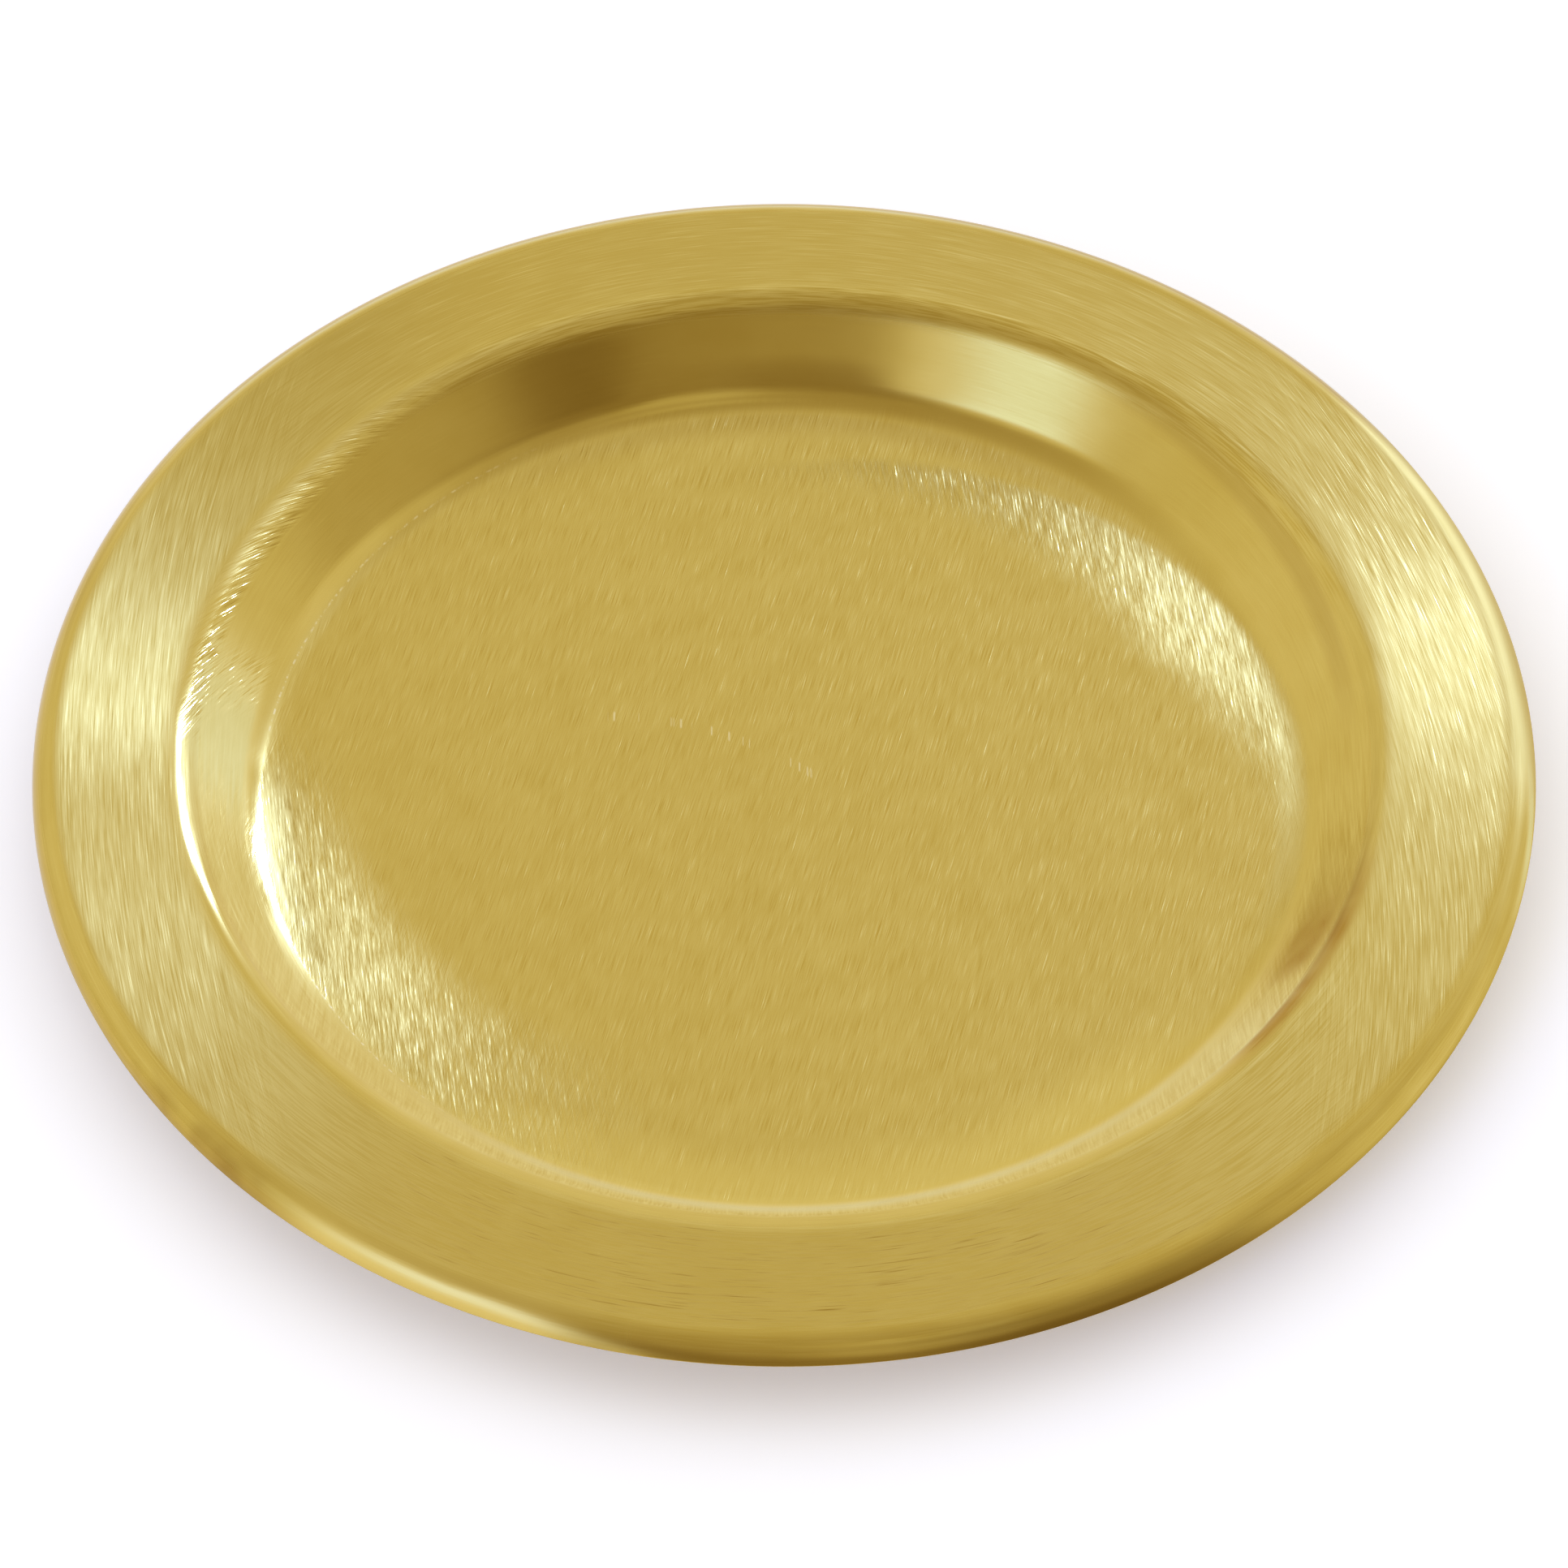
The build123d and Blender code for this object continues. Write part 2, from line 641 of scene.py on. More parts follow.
@dataclass(frozen=True)
class BrushedBrass:
    """Satin brass brushed by hand, in passes that differ between floor, wall and rim, with some shade and
    highlights painted into its colour.

    Fades are in millimetres past a mark of the section, or along X or Y. Four numbers in a fade are its two
    ends and the result at each.
    """

    deep: Paint = (0.49, 0.332, 0.054, 1.0)
    pale: Paint = (0.57, 0.412, 0.088, 1.0)
    # Tarnish for the real specks on the lip, and painted shade along the far foot, high on the right wall
    # and on the lip's hem.
    tarnish_and_shade: Paint = (0.3, 0.17, 0.025, 1.0)
    # Rust for the reddish flecks in the grain, and painted shade where the right wall and brim mirror dark
    # surroundings.
    rust_and_shade: Paint = (0.37, 0.2, 0.018, 1.0)
    # Painted sheen: paler brass for light caught at the floor's front edge and on the front-left lip.
    painted_sheen: Paint = (0.68, 0.5, 0.105, 1.0)
    # Painted shade: dark brown for the front of the lip, where it mirrors the dark room in front.
    lip_shade_paint: Paint = (0.2, 0.12, 0.02, 1.0)
    # Pale brass for the crease along the foot, and painted highlight for the lip's bright spot and the
    # glints across the floor.
    scratch_and_glint_paint: Paint = (0.8, 0.67, 0.33, 1.0)

    round_pass: Strokes = Strokes(0.22, 0.13, 5.0, Course.ROUND, seed=3.1)
    left_pass: Strokes = Strokes(0.42, 0.1, 4.5, lean=0.03, bow=-0.00365, seed=11.7)
    right_pass: Strokes = Strokes(0.22, 0.09, 4.0, lean=0.17, bow=0.00475, seed=23.3)
    floor_pass: Strokes = Strokes(0.24, 0.065, 3.2, lean=-0.25, bite=40.0, seed=41.9)
    crescent_pass: Strokes = Strokes(0.8, 0.12, 2.5, lean=0.12, seed=57.2)
    front_pass: Strokes = Strokes(0.16, 0.16, 6.0, bite=8.0, seed=71.3)
    brim_pass: Strokes = Strokes(0.9, 0.09, 2.8, Course.SLANT, lean=0.5, seed=83.9)
    plain_start: Span = (0.0, 3.3)
    plain_growth: Band = (45.0, -45.0, 0.65, 2.0)
    wall_calm: float = 0.75
    crescent_calm: float = 0.7
    scuff_brush: float = 1.5
    front_half: Span = (9.0, -9.0)

    floor_end: Span = (-0.5, 2.3)
    top_end: Span = (0.0, 0.5)
    rim_start: Span = (1.8, 3.4)
    rim_early: Band = (20.0, 40.0, 0.0, 1.1)
    rim_end: Span = (-0.5, 0.6)
    left_side: Span = (-36.0, -47.0)
    right_side: Span = (36.0, 47.0)

    floor_rough: float = 0.27
    wall_rough: float = 0.21
    brim_rough: float = 0.32
    rim_rough: float = 0.3
    lip_rough: float = 0.36
    front_rough: float = 0.16
    polish_rough: float = 0.1
    crest_rough: float = 0.23
    faint_rough: float = 0.12

    left_gloss: Gloss = Gloss(0.46, 0.08, 10.5)
    low_gloss: Gloss = Gloss(0.46, 0.155, -5.0)
    right_gloss: Gloss = Gloss(0.37, 0.07, 9.0)
    right_crescent_gloss: Gloss = Gloss(0.4, 0.15, -13.0)
    left_crescent_gloss: Gloss = Gloss(0.37, 0.125, -14.0)
    edge_gloss: Gloss = Gloss(0.48, 0.095, 2.0)
    haze_gloss: Gloss = Gloss(0.38, 0.38)
    left_half: Span = (8.0, -8.0)
    right_half: Span = (-8.0, 8.0)
    left_sheen: Band = (-22.0, -44.0, 0.15, 1.0)
    right_sheen: Band = (22.0, 44.0, 0.15, 0.31)
    upper_sheen: Span = (-22.0, 4.0)
    lower_sheen: Span = (4.0, -22.0)

    right_crescent: Crescent = Crescent(
        27.0, (-50.0, -4.0, 28.0, 84.0), (30.8, 39.5), 0.2, outer=(39.9, 41.6), outer_change=0.09
    )
    left_crescent: Crescent = Crescent(200.0, (-34.0, -8.0, 2.0, 60.0), (32.0, 39.5), 0.1, 0.1)
    crescent_right: Span = (-5.0, 5.0)
    crescent_left: Span = (5.0, -5.0)
    rag_per_mm: Span = (4.5, 0.35)
    rag_layers: Span = (3.0, 0.7)
    rag_span: Band = (0.25, 0.68, 0.1, 2.4)

    left_edge: Patch = Patch("floor", EDGE_STRIP, 193.0, (-20.0, -6.0, 7.0, 20.0))
    right_edge: Patch = Patch("floor", EDGE_STRIP, 0.0, (-28.0, -12.0, 8.0, 18.0), 0.4)
    glint: Patch = Patch("wall", (-0.7, 0.2, 1.5, 2.6), 150.0, (-30.0, -5.0, 22.0, 32.0))
    comet: Patch = Patch(
        "foot", (-1.067, 0.133, 5.959, 7.459), 166.0, (-5.0, -1.0, 2.0, 7.0), 0.55, lean=0.9
    )
    side: Patch = Patch("floor", WALL_STRIP, 183.0, (-22.0, -12.0, 8.0, 25.0), 0.1)
    scuff: Patch = Patch("wall", (-0.5, 0.6, 2.2, 3.0), 75.0, (-60.0, -40.0, 40.0, 60.0))

    wall_ease: Patch = Patch("floor", WALL_STRIP, FRONT_DEG, (-140.0, -85.0, 85.0, 140.0), 0.6)
    front_ease: Patch = Patch("floor", (1.0, 3.8, 9.326, 10.926), FRONT_DEG, (-78.0, -5.0, 5.0, 78.0), 1.5)
    back_ease: Patch = Patch("floor", (1.5, 3.3, 3.267, 5.767), 92.0, (-16.0, -8.0, 10.0, 18.0), 0.15)
    crest_ease: Patch = Patch("wall", (1.0, 1.9, 3.0, 3.6), 8.0, (-30.0, -15.0, 18.0, 35.0), 1.5)
    hot_ease: Patch = Patch("wall", (0.8, 1.7, 2.4, 3.2), 188.0, HOT_ARC, -0.3)
    lip_ease: Patch = Patch("rim", (-0.4, 0.6, *ONWARD), 308.0, (-62.0, -40.0, 40.0, 62.0))

    # Painted shade on the front of the lip, where it mirrors the dark room in front.
    front_lip_shade: Patch = Patch("lip", (-2.2, -0.9, *ONWARD), 296.0, (-22.0, -10.0, 7.0, 14.0), 0.45)
    lip_specks: Patch = Patch("lip", HEM_STRIP, 220.0, (-14.0, -6.0, 6.0, 12.0))
    # Painted shade on the lip's hem, at the front and at the back, dimming what it mirrors there.
    front_hem_shade: Patch = Patch("lip", (-1.8, -0.3, *ONWARD), 280.0, (-70.0, -45.0, 20.0, 40.0), 0.3)
    back_hem_shade: Patch = Patch("lip", HEM_STRIP, 50.0, (-25.0, -15.0, 20.0, 35.0), 0.3)
    # Painted highlight: a pale spot on the front-left lip.
    lip_painted_highlight: Patch = Patch("lip", HEM_STRIP, 243.0, (-16.0, -8.0, 7.0, 14.0))
    # Painted shade: orange-brown where the right wall and brim mirror the brass and the dark surroundings.
    wall_mirrored_shade: Patch = Patch("foot", (-2.5, 1.5, 3.5, 6.5), 336.0, (-6.5, -2.0, 0.5, 11.0), 0.7)
    brim_mirrored_shade: Patch = Patch("wall", (0.0, 0.7, 1.2, 2.3), 334.0, (-21.0, -13.0, 2.0, 16.0), 0.8)
    # Painted shade: a darker slanting band high on the right wall, where it mirrors the dark surroundings in
    # front.
    upper_wall_shade: Patch = Patch(
        "wall", (-2.45, -1.05, -0.25, 0.75), 30.0, (-30.0, -12.0, 18.0, 35.0), 0.3, climb=0.055
    )
    # Painted shade: a dark band in the corner along the far foot of the wall.
    far_foot_shade: Patch = Patch("floor", (-3.0, -0.5, 0.8, 2.4), 88.0, (-50.0, -25.0, 25.0, 45.0), 0.18)
    # Painted sheen: the floor lighter towards its front edge.
    front_floor_sheen: Patch = Patch("floor", (-6.0, -0.5, 0.5, 1.5), 280.0, (-60.0, -30.0, 30.0, 50.0), 0.45)
    # A crease along the foot, painted pale and dashed as the highlight it catches.
    back_line: Patch = Patch("floor", LINE_STRIP, 150.0, (-35.0, -20.0, 18.0, 24.0), 0.4)
    side_line: Patch = Patch("floor", LINE_STRIP, 212.0, (-16.0, -10.0, 5.0, 24.0), 0.4)
    # Painted highlight: a row of small glints across the floor.
    floor_glints: GlintRow = GlintRow()

    front_shine: Patch = Patch("floor", (0.3, 1.2, 10.326, 11.326), 245.0, (-90.0, -80.0, 70.0, 90.0))
    hot_brim: Patch = Patch("wall", BRIM_STRIP, 188.0, HOT_ARC)
    faint_brim: Patch = Patch("wall", BRIM_STRIP, 212.0, (-16.0, -9.0, 14.0, 26.0))
    glow_lip: Patch = Patch("rim", LIP_STRIP, 243.0, (-25.0, -10.0, 10.0, 20.0))
    haze_lip: Patch = Patch("rim", LIP_STRIP, 12.0, (-21.0, -12.0, 18.0, 28.0))
    polish: Patch = Patch("floor", (-0.3, 0.6, 2.2, 3.2), 188.0, (-13.0, -9.0, 7.0, 12.0))
    shiny_lip: Span = (10.0, 30.0)

    streak_tone: float = 2.4
    scuff_tone: float = 4.0
    floor_tone: float = -0.9
    # Painted shade: the rim darker towards the back.
    back_shade: float = -0.4
    back_reach: Span = (25.0, 48.0)
    blotch_tone: float = 0.7
    blotch_mm: float = 5.0
    blotch_detail: float = 2.0
    blotch_stain: float = 2.0
    speck_share: float = 0.2
    fleck_arc: Band = (-45.0, -20.0, 20.0, 45.0)
    rim_flecks: float = 0.6
    floor_flecks: float = -0.4
    glow_sheen_share: float = 0.9
    glow_glint_share: float = 0.12
    dashes_per_deg: float = 1.2
    dash_detail: float = 2.0
    dash_cut: Span = (0.45, 0.62)

    def slope(self, spot: Spot, strokes: Strokes, share: Wire) -> tuple[Wire, Wire]:
        """Sideways slope that one pass gives the surface.

        Args:
            spot: The place on the plate.
            strokes: The pass.
            share: How much of the pass there is, from 0 to 1.

        Returns:
            The slope as a number, and as a vector to add to the normal.
        """
        tree = spot.tree
        if strokes.course is Course.STRAIGHT:
            bend = spot.y * (2.0 * strokes.bow) + strokes.lean
            across = spot.x + spot.y * (spot.y * strokes.bow + strokes.lean)
            along, seed = spot.y * (1.0 / strokes.length_mm), strokes.seed
            side = tree.vector(1.0, bend, 0.0)
        else:
            round_way = spot.round_way()
            side = round_way.cross(spot.normal) - round_way * strokes.lean
            if strokes.course is Course.SLANT:
                arc = spot.angle(self.glint.middle_deg) * (BRIM_RADIUS_MM * radians(1.0))
                across, along = spot.travel - arc * strokes.lean, arc * (1.0 / strokes.length_mm)
                seed = strokes.seed
            else:
                across, along = spot.travel, spot.x * (RIM_RADIUS_MM / strokes.length_mm) / spot.radius
                seed = spot.y * (RIM_RADIUS_MM / strokes.length_mm) / spot.radius + strokes.seed
        place = tree.vector(across * (1.0 / strokes.width_mm), along, seed)
        wave = tree.noise(place, 1.0, strokes.detail, strokes.rough) - 0.5
        slope = (wave * wave * strokes.bite + 1.0) * wave * share
        return slope, side * (slope * strokes.steep)

    def crescents(self, spot: Spot) -> Wire:
        """Mask of the two crescents on the floor, ragged along their strokes.

        Args:
            spot: The place on the plate.

        Returns:
            The mask.
        """
        stripe = self.crescent_pass
        across, along = self.rag_per_mm
        comb = spot.tree.vector((spot.x + spot.y * stripe.lean) * across, spot.y * along, stripe.seed)
        ragged = spot.tree.noise(comb, 1.0, *self.rag_layers).ramp(*self.rag_span)
        return ((self.right_crescent.on(spot) + self.left_crescent.on(spot)) * ragged).at_most(1.0)

    def zones(self, spot: Spot) -> dict[str, Wire]:
        """Soft masks of the plate's parts and of the patches that were brushed differently.

        Args:
            spot: The place on the plate.

        Returns:
            Masks from 0 to 1 by name.
        """
        floor = spot.since("floor").ramp(*self.floor_end, 1.0, 0.0)
        top = spot.since("edge").ramp(*self.top_end, 1.0, 0.0)
        rim = (spot.since("wall") + spot.x.ramp(*self.rim_early)).ramp(*self.rim_start)
        rim = rim * spot.since("rim").ramp(*self.rim_end, 1.0, 0.0) * top
        return {
            "floor": floor,
            "top": top,
            "wall": spot.since("floor").band(*WALL_STRIP),
            "rim": rim,
            "lip": spot.since("rim").band(*LIP_STRIP) * top,
            "left": spot.x.ramp(*self.left_side) * rim,
            "right": spot.x.ramp(*self.right_side) * rim,
            "crescent": self.crescents(spot) * floor,
            "edge": self.left_edge.on(spot) + self.right_edge.on(spot),
            "glint": (self.glint.on(spot) + self.comet.on(spot) + self.side.on(spot)).at_most(1.0),
            "scuff": self.scuff.on(spot),
        }

    def brush(self, spot: Spot, zones: dict[str, Wire]) -> tuple[Wire, Wire]:
        """All passes of the brush together.

        Args:
            spot: The place on the plate.
            zones: The masks.

        Returns:
            The slope as a number, and as a vector to add to the normal.
        """
        crescent = zones["crescent"]
        calm = (1.0 - zones["rim"]) * zones["top"] * self.wall_calm
        plain = (1.0 - zones["left"] - zones["right"]) * spot.since("floor").ramp(*self.plain_start)
        plain = plain * (1.0 - calm + zones["scuff"] * self.scuff_brush)
        plain = plain * spot.y.ramp(*self.plain_growth)
        streak, tilt = self.slope(spot, self.round_pass, plain)
        for strokes, share in (
            (self.left_pass, zones["left"]),
            (self.right_pass, zones["right"]),
            (self.floor_pass, zones["floor"] * (1.0 - crescent * self.crescent_calm)),
            (self.crescent_pass, crescent),
            (self.front_pass, zones["wall"] * spot.y.ramp(*self.front_half)),
            (self.brim_pass, zones["glint"]),
        ):
            more_streak, more_tilt = self.slope(spot, strokes, share)
            streak, tilt = streak + more_streak, tilt + more_tilt
        return streak, tilt

    def ease(self, spot: Spot, zones: dict[str, Wire]) -> Wire:
        """How much the light sees wall, brim and lip as less steep than they are.

        Polishing rounds the wall off, most at the front and hardly at the back, and the lip at the front.

        Args:
            spot: The place on the plate.
            zones: The masks.

        Returns:
            An upward share to add to the normal.
        """
        share = self.lip_ease.on(spot) * zones["top"]
        for patch in (self.wall_ease, self.front_ease, self.back_ease, self.crest_ease, self.hot_ease):
            share = share + patch.on(spot)
        return share

    def stains_and_painted_light(
        self, spot: Spot, zones: dict[str, Wire], streak: Wire, blotch: Wire
    ) -> list[tuple[Wire, Paint]]:
        """Tarnish, rust, scratches and grain on the plain brass, with shade, sheen, highlights and glints
        painted in where the plate mirrors dark or bright surroundings.

        Args:
            spot: The place on the plate.
            zones: The masks.
            streak: The strokes' slope.
            blotch: Slow noise about nought.

        Returns:
            How much of which colour, from the lowest layer to the topmost.
        """
        tree, top = spot.tree, zones["top"]
        uneven = blotch * self.blotch_stain
        specks = self.lip_specks.on(spot) * top * (uneven + self.speck_share)
        # Painted shade on the lip's hem.
        hem_shade = (self.front_hem_shade.on(spot) + self.back_hem_shade.on(spot)) * top
        front = spot.angle(FRONT_DEG).band(*self.fleck_arc) * self.rim_flecks
        flecks = (zones["rim"] * front + zones["floor"] * self.floor_flecks) * streak
        # Painted shade on the right wall and brim.
        rust_and_shade = (self.wall_mirrored_shade.on(spot) + self.brim_mirrored_shade.on(spot)) * (streak + uneven + 1.0)
        # Painted highlight on the front-left lip.
        glow = self.lip_painted_highlight.on(spot) * top
        # The foot's crease, painted pale in dashes as the highlight it catches.
        comb = tree.vector(spot.angle(LEFT_DEG) * self.dashes_per_deg, 0.0, spot.travel)
        dashes = tree.noise(comb, 1.0, self.dash_detail).ramp(*self.dash_cut)
        lines = (self.back_line.on(spot) + self.side_line.on(spot)) * dashes
        return [
            # Painted shade on the front of the lip.
            (self.front_lip_shade.on(spot) * top, self.lip_shade_paint),
            # Painted shade along the far foot and high on the right wall.
            (self.far_foot_shade.on(spot) + self.upper_wall_shade.on(spot), self.tarnish_and_shade),
            (specks, self.tarnish_and_shade),
            (hem_shade, self.tarnish_and_shade),
            (flecks, self.rust_and_shade),
            (rust_and_shade, self.rust_and_shade),
            # Painted sheen at the floor's front edge and on the front-left lip.
            (self.front_floor_sheen.on(spot) + glow * self.glow_sheen_share, self.painted_sheen),
            (glow * self.glow_glint_share, self.scratch_and_glint_paint),
            # The foot's crease and the painted glints across the floor.
            (lines + self.floor_glints.on(spot), self.scratch_and_glint_paint),
        ]

    def tone(self, spot: Spot, zones: dict[str, Wire], streak: Wire) -> Wire:
        """The colour: brass that varies with the strokes, tarnished in places, with painted shade and
        highlights in places.

        Args:
            spot: The place on the plate.
            zones: The masks.
            streak: The strokes' slope.

        Returns:
            The colour.
        """
        tree = spot.tree
        place = tree.vector(spot.x, spot.y, spot.travel)
        blotch = tree.noise(place, 1.0 / self.blotch_mm, self.blotch_detail) - 0.5
        contrast = zones["scuff"] * self.scuff_tone + zones["floor"] * self.floor_tone + self.streak_tone
        pale = streak * contrast + blotch * self.blotch_tone
        # Painted shade: the rim darker towards the back.
        pale = pale + zones["rim"] * spot.y.ramp(*self.back_reach) * self.back_shade
        tone = tree.mix(pale + 0.5, self.deep, self.pale)
        for share, colour in self.stains_and_painted_light(spot, zones, streak, blotch):
            tone = tree.mix(share, tone, colour)
        return tone

    def roughness(self, spot: Spot, zones: dict[str, Wire]) -> Wire:
        """How blurred the plate mirrors its surroundings.

        Args:
            spot: The place on the plate.
            zones: The masks.

        Returns:
            The roughness.
        """
        rough = zones["floor"] * (self.floor_rough - self.wall_rough)
        rough = rough + spot.since("wall").band(*BRIM_STRIP) * (self.brim_rough - self.wall_rough)
        rough = rough + zones["rim"] * (self.rim_rough - self.wall_rough) + self.wall_rough
        for share, level in (
            (self.front_shine.on(spot), self.front_rough),
            (self.hot_brim.on(spot), self.crest_rough),
            (self.faint_brim.on(spot), self.faint_rough),
            (zones["lip"] * spot.x.ramp(*self.shiny_lip), self.front_rough),
            (self.glow_lip.on(spot) * zones["top"], self.lip_rough),
            (self.polish.on(spot), self.polish_rough),
        ):
            rough = rough * (1.0 - share) + share * level
        return rough

    def shader(self, spot: Spot, sockets: dict[str, Any], gloss: Gloss | None = None) -> Wire:
        """One patch's shader.

        Args:
            spot: The place on the plate.
            sockets: Its colour, normal and roughness.
            gloss: How the patch spreads light, or None where it spreads alike in all ways.

        Returns:
            The shader.
        """
        sockets = sockets | {"Metallic": 1.0}
        if gloss:
            sockets |= {"Roughness": gloss.rough, "Anisotropic": gloss.uneven}
            sockets |= {"Anisotropic Rotation": gloss.turns}
        return spot.tree.node("ShaderNodeBsdfPrincipled", {}, sockets)

    def material(self, marks: dict[str, float]) -> bpy.types.Material:
        """Makes the finish.

        Args:
            marks: Way along the section, in millimetres, to the ends of its stretches.

        Returns:
            The material.
        """
        made = bpy.data.materials.new("brushed_brass")
        tree = Tree(made)
        spot = Spot.on(tree, marks)
        zones = self.zones(spot)
        streak, tilt = self.brush(spot, zones)
        normal = (spot.normal + tilt + tree.vector(0.0, 0.0, self.ease(spot, zones))).unit()
        sockets = {"Base Color": self.tone(spot, zones, streak), "Normal": normal}
        shade = self.shader(spot, sockets | {"Roughness": self.roughness(spot, zones)})
        left = zones["rim"] * spot.x.ramp(*self.left_half) * spot.x.ramp(*self.left_sheen)
        right = zones["rim"] * spot.x.ramp(*self.right_half) * spot.x.ramp(*self.right_sheen)
        for gloss, share in (
            (self.left_gloss, left * spot.y.ramp(*self.upper_sheen)),
            (self.low_gloss, left * spot.y.ramp(*self.lower_sheen)),
            (self.right_gloss, right),
            (self.right_crescent_gloss, zones["crescent"] * spot.x.ramp(*self.crescent_right)),
            (self.left_crescent_gloss, zones["crescent"] * spot.x.ramp(*self.crescent_left)),
            (self.edge_gloss, zones["edge"]),
            (self.haze_gloss, self.haze_lip.on(spot) * zones["top"]),
        ):
            patch = self.shader(spot, sockets, gloss)
            shade = tree.node("ShaderNodeMixShader", {}, {0: share, 1: shade, 2: patch})
        tree.raw("ShaderNodeOutputMaterial", {}, {"Surface": shade})
        return made


@dataclass
class CandlePlate:
    """The pressed plate, one piece of sheet."""

    node: str = "plate"
    segments: int = 448
    finish: BrushedBrass = field(default_factory=BrushedBrass)

    def section(self) -> Section:
        """The sheet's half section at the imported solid's radius and height."""
        low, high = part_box(self.node)
        return Section(plate_radius=(high[0] - low[0]) / 2, height=high[2] - low[2])

    def build(self) -> bpy.types.Object:
        """Makes the plate's mesh, with the way along the section as an attribute.

        Returns:
            The plate's object.
        """
        outline = self.section().outline()
        turned = Turned(outline, self.segments)
        mesh = bpy.data.meshes.new("brass_plate")
        mesh.from_pydata(turned.points().tolist(), [], turned.faces())
        mesh.shade_smooth()
        travel = turned.per_point(way_along(outline))
        mesh.attributes.new("travel", "FLOAT", "POINT").data.foreach_set("value", travel)
        plate = bpy.data.objects.new("brass_plate", mesh)
        bpy.context.scene.collection.objects.link(plate)
        return plate

    def dress(self, plate: bpy.types.Object) -> None:
        """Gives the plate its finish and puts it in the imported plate's place.

        Args:
            plate: The plate's object.
        """
        plate.data.materials.append(self.finish.material(self.section().marks()))
        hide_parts(self.node)
        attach(plate, "root")


@dataclass(frozen=True)
class SkyPatch:
    """A darker or brighter part of the surroundings, round a direction, in degrees.

    It multiplies the level by one plus its gain, fading between its inner and outer angle.
    """

    azimuth: float
    elevation: float
    inner: float
    outer: float
    gain: float

    def on(self, way: Wire) -> Wire:
        """What the level is multiplied by.

        Args:
            way: Unit vector towards the surroundings.

        Returns:
            The factor.
        """
        facing = way.dot(aim(self.azimuth, self.elevation))
        return facing.ramp(cos(radians(self.outer)), cos(radians(self.inner))) * self.gain + 1.0


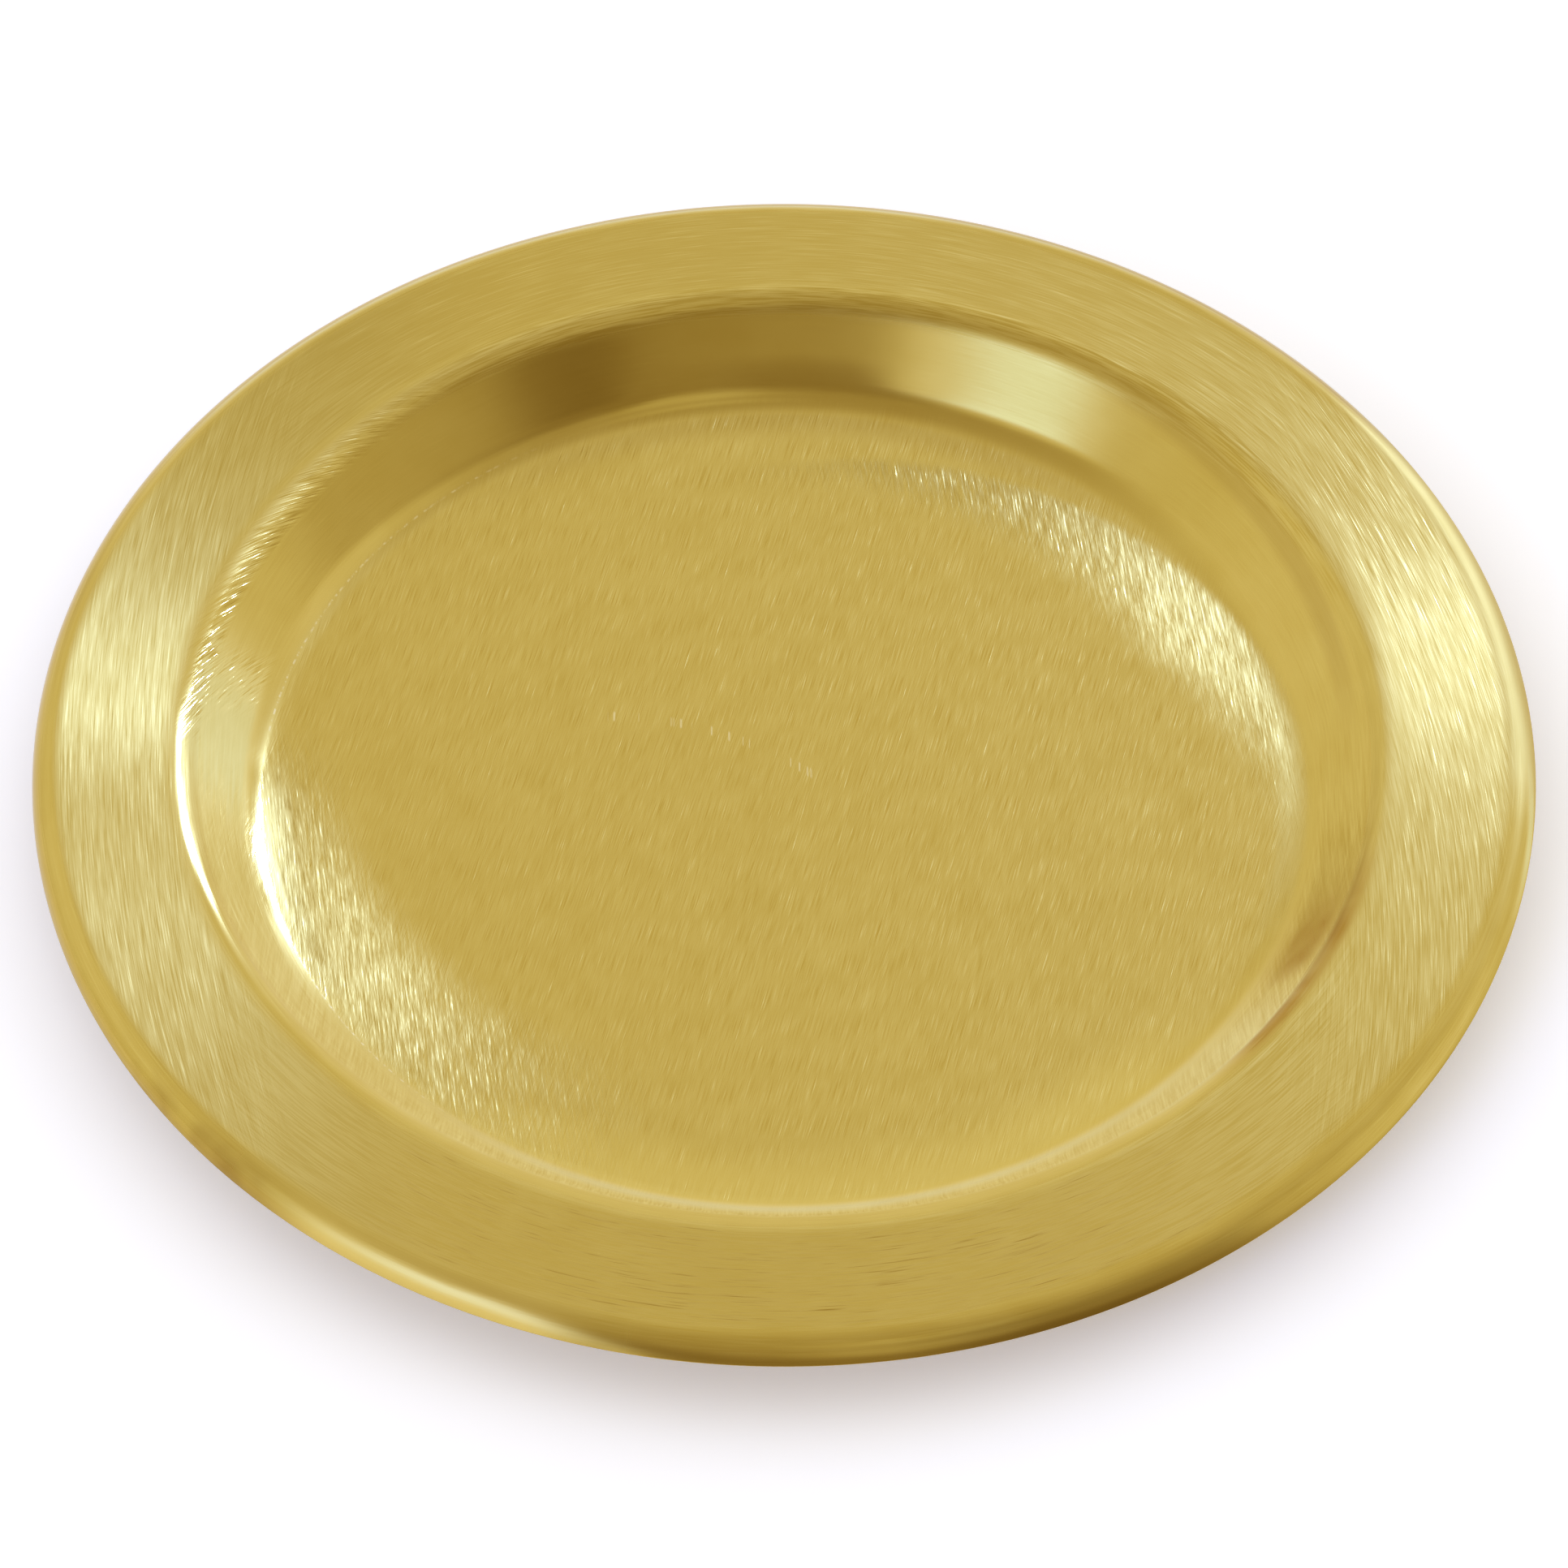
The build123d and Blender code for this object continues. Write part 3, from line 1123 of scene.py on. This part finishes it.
@dataclass
class Studio:
    """Pale floor, soft surroundings and a lamp."""

    floor_side: float = 12.0
    floor_colour: Paint = (1.0, 1.0, 1.0, 1.0)
    floor_glow: float = 0.22
    key_azimuth: float = 58.4
    key_elevation: float = 30.0
    key_distance: float = 1.0
    key_size: Span = (0.13, 0.2)
    key_radiance: float = 62.0
    key_colour: tuple[float, float, float] = (0.6, 1.0, 3.5)
    room_level: float = 1.04
    back_glow: float = 0.62
    glow_low: Span = (0.65, 0.0)
    glow_behind: Span = (0.6, 0.95)
    warmth: float = 0.8
    coolness: float = 1.4
    red_loss: Band = (1.25, 1.9, 1.0, 0.84)
    blue_gain: Band = (1.0, 1.9, 1.0, 1.9)
    patches: tuple[SkyPatch, ...] = (
        SkyPatch(274.0, 60.0, 5.0, 70.0, -0.48),
        SkyPatch(263.0, 46.0, 5.0, 24.0, -0.35),
        SkyPatch(292.0, 24.0, 6.0, 20.0, -0.2),
        SkyPatch(309.0, 22.0, 6.0, 14.0, -0.5),
        SkyPatch(311.0, 44.0, 6.0, 16.0, -0.35),
        SkyPatch(326.0, 14.0, 8.0, 44.0, -0.28),
        SkyPatch(2.0, 16.0, 4.0, 14.0, -0.18),
        SkyPatch(232.0, 22.5, 9.0, 22.0, 1.0),
        SkyPatch(224.0, 38.0, 7.0, 18.0, 0.6),
        SkyPatch(295.0, 65.0, 4.0, 11.0, 0.7),
        SkyPatch(324.0, 81.0, 2.0, 8.0, 0.75),
        SkyPatch(37.0, 18.5, 5.0, 14.0, 0.62),
        SkyPatch(64.0, 7.0, 6.0, 20.0, -0.16),
        SkyPatch(123.0, 9.0, 3.0, 12.0, -0.32),
        SkyPatch(5.0, 46.0, 8.0, 24.0, 0.25),
        SkyPatch(160.0, 40.0, 10.0, 35.0, 0.15),
    )

    def floor(self) -> bpy.types.Object:
        """Lays the floor that the plate stands on.

        Returns:
            The floor.
        """
        half = self.floor_side / 2
        corners = [(-half, -half, 0.0), (half, -half, 0.0), (half, half, 0.0), (-half, half, 0.0)]
        mesh = bpy.data.meshes.new("studio_floor")
        mesh.from_pydata(corners, [], [(0, 1, 2, 3)])
        floor = bpy.data.objects.new("studio_floor", mesh)
        bpy.context.scene.collection.objects.link(floor)
        paint = bpy.data.materials.new("pale_floor")
        tree = Tree(paint)
        plain = tree.node("ShaderNodeBsdfDiffuse", {}, {"Color": self.floor_colour})
        glow = tree.node("ShaderNodeEmission", {}, {"Strength": self.floor_glow})
        white = tree.node("ShaderNodeAddShader", {}, {0: plain, 1: glow})
        path = tree.raw("ShaderNodeLightPath", {}, {}).outputs
        rays = ("Is Camera Ray", "Is Glossy Ray", "Is Transmission Ray")
        camera, glossy, through = (Wire(tree, path[ray]) for ray in rays)
        seen = (camera + glossy + through).at_most(1.0)
        shader = tree.node("ShaderNodeMixShader", {}, {0: seen, 1: plain, 2: white})
        tree.raw("ShaderNodeOutputMaterial", {}, {"Surface": shader})
        mesh.materials.append(paint)
        return floor

    def lamp(self, plate: bpy.types.Object) -> bpy.types.Object:
        """Hangs the key lamp, a small soft box behind the plate to the right, that lights the plate alone.

        Args:
            plate: The plate's object.

        Returns:
            The lamp.
        """
        light = bpy.data.lights.new("key", "AREA")
        light.shape = "RECTANGLE"
        light.size, light.size_y = self.key_size
        light.color = self.key_colour
        light.use_shadow = False
        light.energy = self.key_radiance * pi * self.key_size[0] * self.key_size[1]
        lamp = bpy.data.objects.new("key", light)
        way = aim(self.key_azimuth, self.key_elevation)
        lamp.location = way * self.key_distance
        lamp.rotation_euler = way.to_track_quat("Z", "Y").to_euler()
        bpy.context.scene.collection.objects.link(lamp)
        lit = bpy.data.collections.new("lit_by_key")
        lit.objects.link(plate)
        lamp.light_linking.receiver_collection = lit
        return lamp

    def surroundings(self) -> None:
        """Lights the plate from all round: an even room with soft darker and brighter parts.

        Towards the horizon behind the plate the room grows brighter. Bright parts are cooler than dim ones.
        """
        world = bpy.data.worlds.new("surroundings")
        tree = Tree(world)
        way = tree.node("ShaderNodeTexCoord", {}, {}, "Generated").unit()
        _, back, up = way.parts()
        glow = up.ramp(*self.glow_low) * back.ramp(*self.glow_behind)
        level = glow * self.back_glow + self.room_level
        for patch in self.patches:
            level = level * patch.on(way)
        red = level**self.warmth * level.ramp(*self.red_loss)
        blue = level**self.coolness * level.ramp(*self.blue_gain)
        tone = tree.node("ShaderNodeCombineColor", {}, {0: red, 1: level, 2: blue})
        sky = tree.node("ShaderNodeBackground", {}, {"Color": tone, "Strength": 1.0})
        tree.raw("ShaderNodeOutputWorld", {}, {"Surface": sky})
        bpy.context.scene.world = world

    def build(self, plate: bpy.types.Object) -> None:
        """Sets up floor, lamp and surroundings.

        Args:
            plate: The plate's object.
        """
        self.floor()
        self.lamp(plate)
        self.surroundings()
        bpy.context.scene.view_settings.view_transform = "Standard"


@dataclass
class PhotoCamera:
    """The photograph's view, fitted to the plate's outline in it."""

    elevation_deg: float = 50.19
    distance: float = 0.72
    rim_centre_px: Span = (966.0, 930.4)
    radius_px: float = 925.4
    rim_height: float = 5.4 * MM
    clip_start: float = 0.01

    def build(self, plate_radius: float) -> bpy.types.Object:
        """Places the camera and makes it the scene's.

        Args:
            plate_radius: The radius that measures radius_px in the photograph.

        Returns:
            The camera.
        """
        data = bpy.data.cameras.new("photo_camera")
        focal_px = self.radius_px * self.distance / plate_radius
        data.sensor_width = SENSOR_MM
        data.lens = SENSOR_MM * focal_px / PHOTO_SIDE_PX
        data.clip_start = self.clip_start
        camera = bpy.data.objects.new("photo_camera", data)
        rise = radians(self.elevation_deg)
        back, up = Vector((0.0, -cos(rise), sin(rise))), Vector((0.0, sin(rise), cos(rise)))
        centre = Vector((0.0, 0.0, self.rim_height))
        camera.location = centre + back * self.distance
        off_x = (PHOTO_SIDE_PX / 2 - self.rim_centre_px[0]) / focal_px
        off_y = (PHOTO_SIDE_PX / 2 - self.rim_centre_px[1]) / focal_px
        target = centre + (Vector((off_x, 0.0, 0.0)) - up * off_y) * self.distance
        camera.rotation_euler = (camera.location - target).to_track_quat("Z", "Y").to_euler()
        bpy.context.scene.collection.objects.link(camera)
        bpy.context.scene.camera = camera
        return camera


def main() -> None:
    """Builds the plate, the studio and the camera."""
    logging.basicConfig(level=logging.INFO, format="%(name)s: %(message)s")
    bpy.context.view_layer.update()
    plate = CandlePlate()
    piece = plate.build()
    plate.dress(piece)
    log.info("%s: %d faces", piece.name, len(piece.data.polygons))
    Studio().build(piece)
    PhotoCamera().build(plate.section().plate_radius)


if __name__ == "__main__":
    main()
